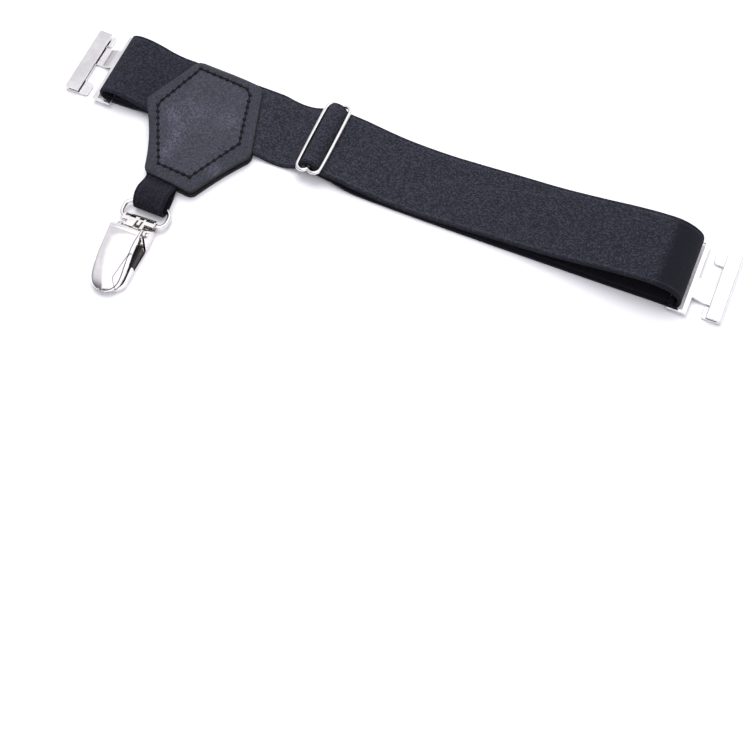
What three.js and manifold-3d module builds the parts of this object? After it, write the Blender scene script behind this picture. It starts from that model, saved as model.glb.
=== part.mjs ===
// A sock suspender lying unfastened on a table: an elastic band that goes round the calf,
// with a T shaped hook at each end and a slider that sets its length, and a leather patch
// from which a short strap, a wire ring and a lever clip hang down to the sock.
// Millimetres, +Z up. The band runs along X, the clip points towards -Y.

import * as THREE from "three";
import { mergeVertices } from "three/addons/utils/BufferGeometryUtils.js";
import Module from "manifold-3d";

const wasm = await Module();
wasm.setup();

// Driving dimensions, in millimetres. Sheet metal is PLATE thick, layers of cloth and leather
// are LAYER_GAP apart, and lying cloth is FLOOR_GAP above the table.
const BAND_WIDTH = 30;
const BAND_THICKNESS = 1.2;
const CLIP_STRAP_WIDTH = 13;
const CLIP_STRAP_THICKNESS = 1;
const LEATHER_THICKNESS = 1.2;
const LAYER_GAP = 0.2;
const FLOOR_GAP = 0.1;
const PLATE = 1;

// Heights of the layers inside the leather patch, from the table up
const BACK_LEATHER_TOP = LEATHER_THICKNESS;
const LOWER_LAYER = BACK_LEATHER_TOP + LAYER_GAP + BAND_THICKNESS / 2;
const UPPER_LAYER = LOWER_LAYER + BAND_THICKNESS + LAYER_GAP;
const LYING = FLOOR_GAP + BAND_THICKNESS / 2;

// Where the main pieces sit along the band, X, and across it, Y
const LEFT_FOLD_X = -147.5;
const RIGHT_FOLD_X = 92.6;
const SLIDER = { x: -56.7, y: 0.4, z: 5.6, tilt: THREE.MathUtils.degToRad(-8) };
const CLIP_STRAP_X = -106.4;
const CLIP = { x: -106.5, turn: THREE.MathUtils.degToRad(2.5) };

const DEGREE = Math.PI / 180;

const COLOURS = {
  webbing: { color: 0x1d1d24, roughness: 0.85, metalness: 0 },
  leather: { color: 0x3a3b44, roughness: 0.55, metalness: 0 },
  nickel: { color: 0xe2e0de, roughness: 0.15, metalness: 1 },
  insert: { color: 0x241a18, roughness: 0.5, metalness: 0 },
};

function finish(name) {
  return new THREE.MeshStandardMaterial({ ...COLOURS[name], flatShading: true });
}

function piece(name, geometry, finishName) {
  const mesh = new THREE.Mesh(geometry, finish(finishName));
  mesh.name = name;
  return mesh;
}

// Booleans: a geometry becomes a solid, and a solid becomes a geometry again
function toSolid(geometry) {
  const bare = geometry.clone();
  bare.deleteAttribute("normal");
  bare.deleteAttribute("uv");
  const merged = mergeVertices(bare, 1e-4);
  return new wasm.Manifold(new wasm.Mesh({
    numProp: 3,
    vertProperties: new Float32Array(merged.attributes.position.array),
    triVerts: new Uint32Array(merged.index.array),
  }));
}

function toGeometry(solid) {
  const mesh = solid.getMesh();
  const geometry = new THREE.BufferGeometry();
  geometry.setAttribute("position", new THREE.BufferAttribute(new Float32Array(mesh.vertProperties), 3));
  geometry.setIndex(new THREE.BufferAttribute(new Uint32Array(mesh.triVerts), 1));
  geometry.computeVertexNormals();
  return geometry;
}

function join(...geometries) {
  return toGeometry(geometries.map(toSolid).reduce((whole, next) => whole.add(next)));
}

function cut(geometry, ...cutters) {
  return toGeometry(cutters.map(toSolid).reduce((whole, next) => whole.subtract(next), toSolid(geometry)));
}

function common(geometry, other) {
  return toGeometry(toSolid(geometry).intersect(toSolid(other)));
}

function block(x0, x1, y0, y1, z0, z1) {
  const geometry = new THREE.BoxGeometry(x1 - x0, y1 - y0, z1 - z0);
  return geometry.translate((x0 + x1) / 2, (y0 + y1) / 2, (z0 + z1) / 2);
}

// A round bar along X
function barAlongX(radius, x0, x1, y, z, sides = 16) {
  const geometry = new THREE.CylinderGeometry(radius, radius, x1 - x0, sides);
  return geometry.rotateZ(Math.PI / 2).translate((x0 + x1) / 2, y, z);
}

// A flat outline in X and Y, thick from z0 to z1
function plate(shape, z0, z1) {
  const geometry = new THREE.ExtrudeGeometry(shape, { depth: z1 - z0, bevelEnabled: false, curveSegments: 6 });
  return geometry.translate(0, 0, z0);
}

// An outline drawn in X and Z, drawn out along Y from y0 to y1
function profileAlongY(points, y0, y1) {
  const shape = new THREE.Shape(points.map(([x, z]) => new THREE.Vector2(x, z)));
  const geometry = new THREE.ExtrudeGeometry(shape, { depth: y1 - y0, bevelEnabled: false });
  return geometry.rotateX(Math.PI / 2).translate(0, y1, 0);
}

// An outline drawn in Y and Z, drawn out along X from x0 to x1
function profileAlongX(shape, x0, x1) {
  const geometry = new THREE.ExtrudeGeometry(shape, { depth: x1 - x0, bevelEnabled: false, curveSegments: 5 });
  return geometry.rotateY(Math.PI / 2).rotateX(Math.PI / 2).translate(x0, 0, 0);
}

// Skins a row of sections that all have the same number of points, and closes both ends
function skin(sections) {
  const count = sections[0].length;
  const positions = sections.flat().flatMap((point) => [point.x, point.y, point.z]);
  const triangles = [];
  for (let row = 0; row + 1 < sections.length; row += 1) {
    for (let step = 0; step < count; step += 1) {
      const next = (step + 1) % count;
      const a = row * count + step;
      const b = row * count + next;
      triangles.push(a, b, b + count, a, b + count, a + count);
    }
  }
  const flat = THREE.ShapeUtils.triangulateShape(flattened(sections[0]), []);
  const last = (sections.length - 1) * count;
  for (const [a, b, c] of flat) {
    triangles.push(a, c, b, last + a, last + b, last + c);
  }
  const geometry = new THREE.BufferGeometry();
  geometry.setAttribute("position", new THREE.Float32BufferAttribute(positions, 3));
  geometry.setIndex(triangles);
  return outwards(geometry);
}

// A section's points in the plane that it lies in
function flattened(section) {
  const normal = new THREE.Vector3();
  for (let i = 0; i < section.length; i += 1) {
    normal.add(section[i].clone().cross(section[(i + 1) % section.length]));
  }
  normal.normalize();
  const turn = new THREE.Quaternion().setFromUnitVectors(normal, new THREE.Vector3(0, 0, 1));
  return section.map((point) => {
    const turned = point.clone().applyQuaternion(turn);
    return new THREE.Vector2(turned.x, turned.y);
  });
}

// Turns the faces round where the enclosed volume comes out negative
function outwards(geometry) {
  const position = geometry.attributes.position;
  const index = geometry.index.array;
  const [a, b, c] = [new THREE.Vector3(), new THREE.Vector3(), new THREE.Vector3()];
  let volume = 0;
  for (let i = 0; i < index.length; i += 3) {
    a.fromBufferAttribute(position, index[i]);
    b.fromBufferAttribute(position, index[i + 1]);
    c.fromBufferAttribute(position, index[i + 2]);
    volume += a.dot(b.cross(c));
  }
  if (volume < 0) {
    for (let i = 0; i < index.length; i += 3) {
      [index[i + 1], index[i + 2]] = [index[i + 2], index[i + 1]];
    }
  }
  geometry.computeVertexNormals();
  return geometry;
}

// Rows of a strap's route round a bar, seen from the near side: 0 degrees is +X, 90 is up
function roundBar({ x, z }, radius, from, to, steps, extra) {
  return Array.from({ length: steps + 1 }, (_, i) => {
    const angle = (from + ((to - from) * i) / steps) * DEGREE;
    return { x: x + radius * Math.cos(angle), z: z + radius * Math.sin(angle), ...extra };
  });
}

const SECTIONS_PER_ROW = 3;

// Webbing along a route. Each row gives the middle of its thickness (x and z), how far it has
// drifted across (drift), and its width there. The strap runs along X and lies across Y.
function strap(rows, thickness) {
  const route = new THREE.CatmullRomCurve3(
    rows.map((row) => new THREE.Vector3(row.x, row.drift, row.z)), false, "centripetal");
  const widths = new THREE.SplineCurve(rows.map((row, i) => new THREE.Vector2(i, row.width)));
  const steps = (rows.length - 1) * SECTIONS_PER_ROW;
  const sections = [];
  for (let i = 0; i <= steps; i += 1) {
    const along = i / steps;
    const middle = route.getPoint(along);
    const heading = route.getTangent(along);
    const up = new THREE.Vector3(-heading.z, 0, heading.x).normalize().multiplyScalar(thickness / 2);
    const half = widths.getPoint(along).y / 2;
    const across = new THREE.Vector3(0, half, 0);
    sections.push([
      middle.clone().sub(across).sub(up),
      middle.clone().add(across).sub(up),
      middle.clone().add(across).add(up),
      middle.clone().sub(across).add(up),
    ]);
  }
  return skin(sections);
}

// Calf band
// One length of webbing: sewn under the patch, along the table, over the slider's middle bar,
// on to the right hook as the upper layer, round its frame, and back along the table to the
// middle bar, where its end is turned back under itself and sewn.
const TAIL_RADIUS = 1.62;
const HUMP_RADIUS = 3.02;
const SEWN_WIDTH = 28.6;
const SQUEEZED_WIDTH = 29.4;
const FOLDED_WIDTH = 29.6;
const TAIL_END_X = -48;

function calfBand() {
  const width = BAND_WIDTH;
  const narrow = { drift: SLIDER.y, width: SQUEEZED_WIDTH };
  const sewn = { drift: SLIDER.y, width: SEWN_WIDTH };
  const folded = { drift: 0, width: FOLDED_WIDTH };
  const rows = [
    { x: -108, z: LOWER_LAYER, drift: 0, width },
    { x: -98, z: LOWER_LAYER, drift: 0, width },
    { x: -83, z: LOWER_LAYER, drift: -0.1, width },
    { x: -79.4, z: 1.95, drift: -0.2, width },
    { x: -76, z: 1.3, drift: -0.4, width },
    { x: -71.5, z: LYING, drift: -0.5, width },
    { x: -67, z: LYING + 0.2, drift: -0.3, width },
    { x: -63.4, z: 1.95, drift: 0.1, width: 29.8 },
    { x: -61.1, z: 2.95, ...narrow },
    { x: -60, z: 4.3, ...narrow },
    ...roundBar(SLIDER, HUMP_RADIUS, 166, 28, 7, narrow),
    { x: -52.7, z: 4.9, ...narrow },
    { x: -50.6, z: 4.3, drift: 0.3, width: 29.8 },
    { x: -45, z: 3.9, drift: 0.1, width },
    { x: -36, z: 2.9, drift: -0.3, width },
    { x: -26, z: 2.2, drift: -0.7, width },
    { x: -10, z: 2.1, drift: -0.8, width },
    { x: 4, z: 2.6, drift: -0.4, width },
    { x: 20, z: 3.7, drift: 0, width },
    { x: 36, z: 5.3, drift: 0, width },
    { x: 52, z: 8.0, drift: 0, width },
    { x: 66, z: 10.8, drift: 0, width },
    { x: 76, z: 12.2, drift: 0, width },
    { x: 82.5, z: 12.3, drift: 0, width },
    { x: 87.6, z: 10.9, ...folded },
    { x: 91, z: 8.1, ...folded },
    { x: RIGHT_FOLD_X - BAND_THICKNESS / 2, z: 4.9, ...folded },
    { x: 91.8, z: 2.5, ...folded },
    { x: 90.7, z: 0.95, ...folded },
    { x: 89, z: LYING, ...folded },
    { x: 85, z: LYING, ...folded },
    { x: 62, z: LYING, drift: -0.3, width },
    { x: 40, z: LYING, drift: -0.6, width },
    { x: 18, z: LYING, drift: -0.9, width },
    { x: -4, z: LYING, drift: -1.1, width },
    { x: -24, z: LYING, drift: -1.1, width },
    { x: -38, z: LYING + 0.15, drift: -0.9, width },
    { x: -46, z: 2.05, drift: -0.4, width: 29.6 },
    { x: -51.2, z: 2.95, drift: 0.2, width: 29 },
    { x: -53.5, z: 3.65, ...sewn },
    { x: -54.7, z: 4.8, ...sewn },
    ...roundBar(SLIDER, TAIL_RADIUS, 15, 220, 8, sewn),
    { x: -57.6, z: 3.4, ...sewn },
    { x: -56.4, z: 2.2, ...sewn },
    { x: -54, z: 1.65, ...sewn },
    { x: -51.5, z: 1.4, drift: 0.2, width: SEWN_WIDTH },
    { x: TAIL_END_X, z: 0.95, drift: 0, width: SEWN_WIDTH },
  ];
  return strap(rows, BAND_THICKNESS);
}

// Hook loop
// A short length of the same webbing, folded round the left hook, both ends under the patch.
const LOOP_WIDTH = 28.8;
const LOOP_DRIFT = 0.5;

function hookLoop() {
  const rows = [
    { x: -111, z: LOWER_LAYER, drift: 0.4 },
    { x: -126, z: LOWER_LAYER, drift: 0.7 },
    { x: -129.4, z: 1.95, drift: 0.8 },
    { x: -133.5, z: 1.2, drift: 0.9 },
    { x: -138.5, z: LYING, drift: 1 },
    { x: -143, z: LYING, drift: 1 },
    { x: -145.3, z: 0.9, drift: 1 },
    { x: -146.6, z: 2.1, drift: 1 },
    { x: LEFT_FOLD_X + BAND_THICKNESS / 2, z: 4, drift: 1 },
    { x: -146, z: 6.2, drift: 1 },
    { x: -143, z: 7.3, drift: 1 },
    { x: -138.5, z: 7.2, drift: 1 },
    { x: -133, z: 5.8, drift: 0.9 },
    { x: -128.6, z: 4.3, drift: 0.8 },
    { x: -124, z: UPPER_LAYER + 0.05, drift: 0.7 },
    { x: -119, z: UPPER_LAYER, drift: 0.6 },
    { x: -111, z: UPPER_LAYER, drift: 0.4 },
  ];
  return strap(rows.map((row) => ({ ...row, drift: row.drift * LOOP_DRIFT, width: LOOP_WIDTH })), BAND_THICKNESS);
}

// Clip strap
// A narrower elastic loop that comes out from under the patch, through the ring, and back. Its
// rows are written as if it ran along X, then it is turned to run along -Y.
const STRAP_LOWER = BACK_LEATHER_TOP + LAYER_GAP + CLIP_STRAP_THICKNESS / 2;
const STRAP_UPPER = STRAP_LOWER + CLIP_STRAP_THICKNESS + LAYER_GAP;
const STRAP_FOLD_Y = -54.6;

function clipStrap() {
  const lying = FLOOR_GAP + CLIP_STRAP_THICKNESS / 2;
  const width = CLIP_STRAP_WIDTH;
  const rows = [
    { x: 19, z: STRAP_LOWER, drift: -0.3, width },
    { x: 38, z: STRAP_LOWER, drift: -0.3, width },
    { x: 42, z: 1.9, drift: -0.1, width },
    { x: 45.5, z: 0.9, drift: 0.2, width },
    { x: 48.5, z: lying, drift: 0.5, width: 12.8 },
    { x: 51.5, z: lying, drift: 0.8, width: 12.5 },
    { x: 53.3, z: 1.3, drift: 0.9, width: 12.3 },
    { x: -STRAP_FOLD_Y - CLIP_STRAP_THICKNESS / 2, z: 3, drift: 0.9, width: 12.2 },
    { x: 53.3, z: 5.1, drift: 0.7, width: 12.5 },
    { x: 50.6, z: 6.4, drift: 0.4, width },
    { x: 47.2, z: 6.1, drift: 0.1, width },
    { x: 44.4, z: 4.6, drift: -0.1, width },
    { x: 41.8, z: STRAP_UPPER + 0.15, drift: -0.3, width },
    { x: 38, z: STRAP_UPPER, drift: -0.4, width },
    { x: 19, z: STRAP_UPPER, drift: -0.4, width },
  ];
  const along = strap(rows, CLIP_STRAP_THICKNESS);
  return along.rotateZ(-Math.PI / 2).translate(CLIP_STRAP_X, 0, 0);
}

// Leather patch
// Corners go round from the far left one. Each has its place and the radius it is rounded to;
// a corner with pull has a side before it that is drawn inwards by that much.
const PATCH_CORNERS = [
  { x: -117.4, y: 14.6, radius: 3 },
  { x: -88.8, y: 13.6, radius: 4 },
  { x: -79.6, y: -17.6, radius: 2.5 },
  { x: -93.6, y: -41.6, radius: 2.5, pull: 0.7 },
  { x: -114.6, y: -39.6, radius: 2.5 },
  { x: -128.6, y: -10.2, radius: 3, pull: 1.6 },
];

function patchOutline() {
  const shape = new THREE.Shape();
  const corner = (i) => {
    const { x, y } = PATCH_CORNERS[(i + PATCH_CORNERS.length) % PATCH_CORNERS.length];
    return new THREE.Vector2(x, y);
  };
  PATCH_CORNERS.forEach(({ radius, pull = 0 }, i) => {
    const here = corner(i);
    const before = corner(i - 1);
    const arriving = here.clone().sub(before).setLength(radius);
    const leaving = corner(i + 1).sub(here).setLength(radius);
    const enter = here.clone().sub(arriving);
    const exit = here.clone().add(leaving);
    if (i === 0) {
      shape.moveTo(enter.x, enter.y);
    } else if (pull) {
      const inwards = new THREE.Vector2(arriving.y, -arriving.x).setLength(2 * pull);
      const middle = before.add(here).multiplyScalar(0.5).add(inwards);
      shape.quadraticCurveTo(middle.x, middle.y, enter.x, enter.y);
    } else {
      shape.lineTo(enter.x, enter.y);
    }
    shape.quadraticCurveTo(here.x, here.y, exit.x, exit.y);
  });
  shape.closePath();
  return shape;
}

// The front leather lies on two layers of webbing at the left and on one at the right
const FRONT_UNDERSIDE = UPPER_LAYER + BAND_THICKNESS / 2 + LAYER_GAP;
const FRONT_RIGHT_DROP = 1.25;
const FRONT_NEAR_DROP = 0.45;
const FRONT_LEFT_LIFT = 0.8;

function frontUnderside(x, y) {
  const right = THREE.MathUtils.smoothstep(x, -102, -82) * FRONT_RIGHT_DROP;
  const near = THREE.MathUtils.smoothstep(-y, 18, 40) * FRONT_NEAR_DROP;
  const left = THREE.MathUtils.smoothstep(-x, 119, 129) * FRONT_LEFT_LIFT;
  return FRONT_UNDERSIDE + left - Math.min(right + near, FRONT_RIGHT_DROP);
}

// A draped sheet larger than the patch, cut to its outline
function frontLeather() {
  const [left, right, columns] = [-132, -76, 14];
  const rows = [20, 6, -8, -18, -26, -34, -46];
  const sections = [];
  for (let i = 0; i <= columns; i += 1) {
    const x = left + ((right - left) * i) / columns;
    const under = rows.map((y) => new THREE.Vector3(x, y, frontUnderside(x, y)));
    const over = [...under].reverse().map((point) => point.clone().setZ(point.z + LEATHER_THICKNESS));
    sections.push([...under, ...over]);
  }
  const above = FRONT_UNDERSIDE + FRONT_LEFT_LIFT + 2 * LEATHER_THICKNESS;
  return common(skin(sections), plate(patchOutline(), 0, above));
}

function backLeather() {
  return plate(patchOutline(), 0, LEATHER_THICKNESS);
}

// Slider
// A wire frame with two long bars and heart shaped ends, soldered to a middle bar at the notches.
// It is made flat about its own centre, then tilted and lifted to where the webbing holds it.
const SLIDER_WIRE = 0.75;
const SLIDER_BAR_X = 4.85;
const SLIDER_LOBE_Y = 14;

// Half of the frame: from one notch round a lobe, along the bar and round the other lobe
function sliderHalf(side) {
  const lobe = SLIDER_BAR_X / 2;
  const points = [];
  for (const end of [-1, 1]) {
    for (let i = 0; i <= 8; i += 1) {
      const angle = Math.PI * (end < 0 ? i / 8 : 1 - i / 8);
      const x = side * (lobe - lobe * Math.cos(angle));
      points.push(new THREE.Vector3(x, end * (SLIDER_LOBE_Y + lobe * Math.sin(angle)), 0));
    }
  }
  const route = new THREE.CatmullRomCurve3(points, false, "centripetal");
  const section = new THREE.Shape().absarc(0, 0, SLIDER_WIRE, 0, 2 * Math.PI);
  return new THREE.ExtrudeGeometry(section, { extrudePath: route, steps: 48, curveSegments: 4, bevelEnabled: false });
}

function slider() {
  const middle = new THREE.CylinderGeometry(SLIDER_WIRE, SLIDER_WIRE, 2 * SLIDER_LOBE_Y + 0.6, 12);
  const whole = join(sliderHalf(-1), sliderHalf(1), middle);
  return whole.rotateY(SLIDER.tilt).translate(SLIDER.x, SLIDER.y, SLIDER.z);
}

// Hook
// Bent from one plate: a T bar folded double, a neck to one side of it, a claw at each end of the
// bar, and a slotted frame whose outer bar the webbing is folded round. Drawn for the left end:
// its own X is 0 at the T bar's outer edge, its own Y is 0 halfway along the frame.
const HOOK = {
  barWidth: 5.8, barLength: 29.8, barHeight: 2.7, barMiddle: -0.3,
  neckNear: 0.2, neckFar: 8.9,
  clawReach: 3.9, clawWidth: 6.2, smallClawReach: 1.6, smallClawWidth: 5,
  frameNear: 12.9, frameFar: 20.4, frameHalf: 16.3, frameLift: 1.5,
  nearRail: 2, farRail: 2, sideRail: 1.1,
};

function hook() {
  const h = HOOK;
  const end = h.barLength / 2;
  const bar = profileAlongY([
    [h.barWidth, 0], [0.5, 0], [0, 0.5], [0, h.barHeight - 0.5], [0.5, h.barHeight],
    [h.barWidth, h.barHeight], [h.barWidth, h.barHeight - PLATE], [1.6, h.barHeight - PLATE],
    [1.6, PLATE], [h.barWidth, PLATE],
  ], -end, end);
  const claw = (near, width, reach) => {
    const shape = new THREE.Shape();
    const tip = h.barWidth + reach;
    const round = Math.min(reach, width) * 0.4;
    shape.moveTo(h.barWidth - 1, near);
    shape.lineTo(tip - round, near);
    shape.quadraticCurveTo(tip, near, tip, near + round);
    shape.lineTo(tip, near + width - round);
    shape.quadraticCurveTo(tip, near + width, tip - round, near + width);
    shape.lineTo(h.barWidth - 1, near + width);
    shape.closePath();
    return plate(shape, 0, PLATE);
  };
  const neck = profileAlongY([
    [h.barWidth - 1, 0], [9, 0], [12.2, h.frameLift], [h.frameNear + 1, h.frameLift],
    [h.frameNear + 1, h.frameLift + PLATE], [11.8, h.frameLift + PLATE], [8.6, PLATE],
    [h.barWidth - 1, PLATE],
  ], h.neckNear, h.neckFar);
  const frame = block(h.frameNear, h.frameFar, -h.frameHalf, h.frameHalf, h.frameLift, h.frameLift + PLATE);
  const slot = block(h.frameNear + h.nearRail, h.frameFar - h.farRail, h.sideRail - h.frameHalf,
    h.frameHalf - h.sideRail, 0, h.frameLift + 2 * PLATE);
  const barAndNeck = join(
    bar,
    claw(-end, h.clawWidth, h.clawReach),
    claw(end - h.smallClawWidth, h.smallClawWidth, h.smallClawReach),
    neck,
  );
  return join(barAndNeck.translate(0, h.barMiddle, 0), cut(frame, slot));
}

// Ring
// Round wire bent to a long rounded loop and soldered; its near bar is held by the clip. The
// ring and the clip are drawn straight, with their own X 0 in the clip's middle, and are then
// turned a little about the near bar, as they hang.
const RING = { wire: 0.85, width: 18.4, x: 0.7, backY: -51.6, barY: -59.5, z: 2.4, bend: 3.2 };

function ring() {
  const half = RING.width / 2;
  const middle = (RING.backY + RING.barY) / 2;
  const deep = (RING.backY - RING.barY) / 2;
  const points = [];
  for (let corner = 0; corner < 4; corner += 1) {
    const [sideX, sideY] = [[1, 1], [-1, 1], [-1, -1], [1, -1]][corner];
    for (let i = 0; i <= 4; i += 1) {
      const angle = (corner * 90 + i * 22.5) * DEGREE;
      const x = sideX * (half - RING.bend) + RING.bend * Math.cos(angle);
      const y = sideY * (deep - RING.bend) + RING.bend * Math.sin(angle);
      points.push(new THREE.Vector3(RING.x + x, middle + y, RING.z));
    }
  }
  const route = new THREE.CatmullRomCurve3(points, true, "centripetal");
  return new THREE.TubeGeometry(route, 44, RING.wire, 10, true);
}

// Clip base
// Sheet steel, nickel plated: a plate with a rounded front, whose rear is rolled over the ring's
// bar and runs on as tongues up to the cover, with an ear bent up at each side.
const BASE = {
  rearHalf: 7.3, waistHalf: 6.6, frontHalf: 6.5, waistY: -79, frontY: -84.8, frontReach: 5.4,
  wall: 0.9, rearY: -60, cornerX: 0.9, cornerY: 1.8,
};
const PIN = { y: -65.9, z: 6, radius: 0.75, hole: 1.05 };
const EAR = { far: -61.4, near: -69.6, foot: 1.6, radius: 1.75, lean: 0.15 };
const ROLL = { left: -6.1, right: 6.8, outer: 2.1, inner: 1.25, endY: -64.3, endTop: 6.2, thick: 0.8 };
const TONGUE = { left: -3.5, right: 3.5, shoulderY: -61.6 };
const ROLL_SLOTS = [
  { left: -5.4, right: -1.2 },
  { left: 0.4, right: 2.2 },
  { left: 3, right: 6.2 },
];
const ROLL_SLOT = { near: -59.7, far: -58.5 };
const SLITS = [
  { left: -0.2, right: 0.5, far: -60.3 },
  { left: 1.7, right: 2.4, far: -60.3 },
  { left: -0.2, right: 2.4, far: -62.6 },
];
const LIP = { thick: 0.8, rearY: -79.2, rearTop: 3.6, frontY: -90.4, frontTop: 1.7 };

function baseOutline(inwards = 0) {
  const { rearHalf, waistHalf, frontHalf, waistY, frontY, frontReach, rearY, cornerX, cornerY } = BASE;
  const shape = new THREE.Shape();
  shape.moveTo(rearHalf - cornerX - inwards, rearY);
  shape.lineTo(-rearHalf + cornerX + inwards, rearY);
  shape.lineTo(-rearHalf + inwards, rearY - cornerY);
  shape.lineTo(-rearHalf + inwards, EAR.near);
  shape.lineTo(-waistHalf + inwards, waistY);
  shape.absellipse(0, frontY, frontHalf - inwards, frontReach - inwards, Math.PI, 2 * Math.PI, false);
  shape.lineTo(waistHalf - inwards, waistY);
  shape.lineTo(rearHalf - inwards, EAR.near);
  shape.lineTo(rearHalf - inwards, rearY - cornerY);
  shape.closePath();
  return shape;
}

// An ear leans inwards as it rises
function ear(side) {
  const shoulder = 0.4;
  const shape = new THREE.Shape();
  shape.moveTo(EAR.far, 0.1);
  shape.lineTo(EAR.far, EAR.foot);
  shape.absarc(PIN.y, PIN.z, EAR.radius, shoulder, Math.PI - shoulder, false);
  shape.lineTo(EAR.near, EAR.foot);
  shape.lineTo(EAR.near, 0.1);
  shape.closePath();
  const hole = new THREE.Path();
  hole.absarc(PIN.y, PIN.z, PIN.hole, 0, 2 * Math.PI, true);
  shape.holes.push(hole);
  const [x0, x1] = [side * BASE.rearHalf, side * (BASE.rearHalf - BASE.wall)].sort((a, b) => a - b);
  const geometry = profileAlongX(shape, x0, x1);
  const position = geometry.attributes.position;
  for (let i = 0; i < position.count; i += 1) {
    position.setX(i, position.getX(i) - side * EAR.lean * position.getZ(i));
  }
  return geometry;
}

// The rolled rear: seen from the side it goes round the ring's bar and slopes up to the cover
function rolledRear() {
  const shape = new THREE.Shape();
  const bottom = RING.z - ROLL.outer;
  shape.moveTo(BASE.rearY - 1, bottom);
  shape.absarc(RING.barY, RING.z, ROLL.outer, -Math.PI / 2, Math.PI / 2, false);
  shape.lineTo(ROLL.endY, ROLL.endTop);
  shape.lineTo(ROLL.endY, ROLL.endTop - ROLL.thick);
  shape.absarc(RING.barY, RING.z, ROLL.inner, Math.PI / 2, -Math.PI / 2, true);
  shape.lineTo(BASE.rearY - 1, RING.z - ROLL.inner);
  shape.closePath();
  const roll = profileAlongX(shape, ROLL.left, ROLL.right);
  const above = ROLL.endTop + 1;
  const below = RING.z + ROLL.inner / 2;
  return cut(
    roll,
    block(ROLL.left - 1, TONGUE.left, ROLL.endY - 1, TONGUE.shoulderY, below, above),
    block(TONGUE.right, ROLL.right + 1, ROLL.endY - 1, TONGUE.shoulderY, below, above),
    ...SLITS.map(({ left, right, far }) => block(left, right, ROLL.endY - 1, far, below, above)),
    ...ROLL_SLOTS.map(({ left, right }) => block(left, right, ROLL_SLOT.near, ROLL_SLOT.far, below, above)),
  );
}

// The base's front edge is turned up all round, lower towards the tip
function lowerLip() {
  const rim = cut(plate(baseOutline(), BASE.wall / 3, LIP.rearTop), plate(baseOutline(LIP.thick), 0, 2 * LIP.rearTop));
  const side = new THREE.Shape();
  side.moveTo(LIP.rearY, 0);
  side.lineTo(LIP.rearY, LIP.rearTop);
  side.lineTo(LIP.frontY, LIP.frontTop);
  side.lineTo(LIP.frontY, 0);
  side.closePath();
  return common(rim, profileAlongX(side, -BASE.rearHalf, BASE.rearHalf));
}

function clipBase() {
  return join(plate(baseOutline(), 0, BASE.wall), ear(-1), ear(1), rolledRear(), lowerLip());
}

// Clip cover
// A domed lever, pivoted on the pin by two cheeks. It sits a little to the left on the pin. Each
// row is a section across it: half is its half width, shoulder how far its flat top stops short
// of that, and edge the height of its lower edge, which is cut away beside the ears.
const COVER_X = -1.2;
const COVER_ROWS = [
  { y: -66.2, half: 6.2, shoulder: 1.0, top: 9.4, edge: 8.3 },
  { y: -67.2, half: 6.3, shoulder: 1.2, top: 10.0, edge: 8.2 },
  { y: -69.0, half: 6.4, shoulder: 1.4, top: 10.2, edge: 7.6 },
  { y: -71.0, half: 6.4, shoulder: 1.5, top: 10.2, edge: 6.2 },
  { y: -74.5, half: 6.4, shoulder: 1.7, top: 9.8, edge: 5.2 },
  { y: -78.5, half: 6.5, shoulder: 2.1, top: 9.0, edge: 4.4 },
  { y: -82.0, half: 6.5, shoulder: 2.6, top: 7.9, edge: 3.7 },
  { y: -84.8, half: 6.4, shoulder: 3.0, top: 6.8, edge: 3.1 },
  { y: -87.3, half: 5.9, shoulder: 3.0, top: 5.6, edge: 2.7 },
  { y: -89.3, half: 4.8, shoulder: 2.4, top: 4.5, edge: 2.5 },
  { y: -90.7, half: 3.2, shoulder: 1.4, top: 3.6, edge: 2.4 },
  { y: -91.4, half: 1.4, shoulder: 0.6, top: 3.1, edge: 2.3 },
];
const COVER_WALL = 0.8;
const COVER_CROWN = 0.35;
const CHEEK = { radius: 1.7, rootNear: -68.2, rootFar: -66.6, rootBottom: 5.6 };
const CHEEKS = [
  { left: -4.9, right: -4.1, rootTop: 9.5 },
  { left: 4.1, right: 4.9, rootTop: 8.6 },
];

// Half of a section from its lower edge up to the middle of its top, inset by wall all round
function coverArch({ half, shoulder, top, edge }, wall) {
  const outer = Math.max(half - wall, 0.4);
  const flat = Math.max(outer - shoulder, 0.2);
  const rise = Math.max(top - COVER_CROWN - wall - edge, 0.15);
  const flank = [0, 25, 50, 72, 90].map((degrees) => {
    const angle = degrees * DEGREE;
    return [flat + (outer - flat) * Math.cos(angle) ** 0.8, edge + rise * Math.sin(angle) ** 0.8];
  });
  return [...flank, [0, edge + rise + COVER_CROWN]];
}

function coverSection(row) {
  const arch = (wall) => {
    const right = coverArch(row, wall);
    const left = right.slice(0, -1).map(([x, z]) => [-x, z]);
    return [...left, ...right.reverse()].map(([x, z]) => new THREE.Vector3(COVER_X + x, row.y, z));
  };
  return [...arch(0), ...arch(COVER_WALL).reverse()];
}

function clipCover() {
  const shell = skin(COVER_ROWS.map(coverSection));
  const cheeks = CHEEKS.map(({ left, right, rootTop }) => join(
    barAlongX(CHEEK.radius, left, right, PIN.y, PIN.z, 18),
    block(left, right, CHEEK.rootNear, CHEEK.rootFar, CHEEK.rootBottom, rootTop),
  ));
  const bore = barAlongX(PIN.hole, -9, 9, PIN.y, PIN.z, 16);
  return cut(join(shell, ...cheeks), bore);
}

// Hinge pin
// Riveted over outside the ears.
const RIVET_HEAD = { radius: 1.3, thickness: 0.6, gap: 0.5 };

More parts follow.
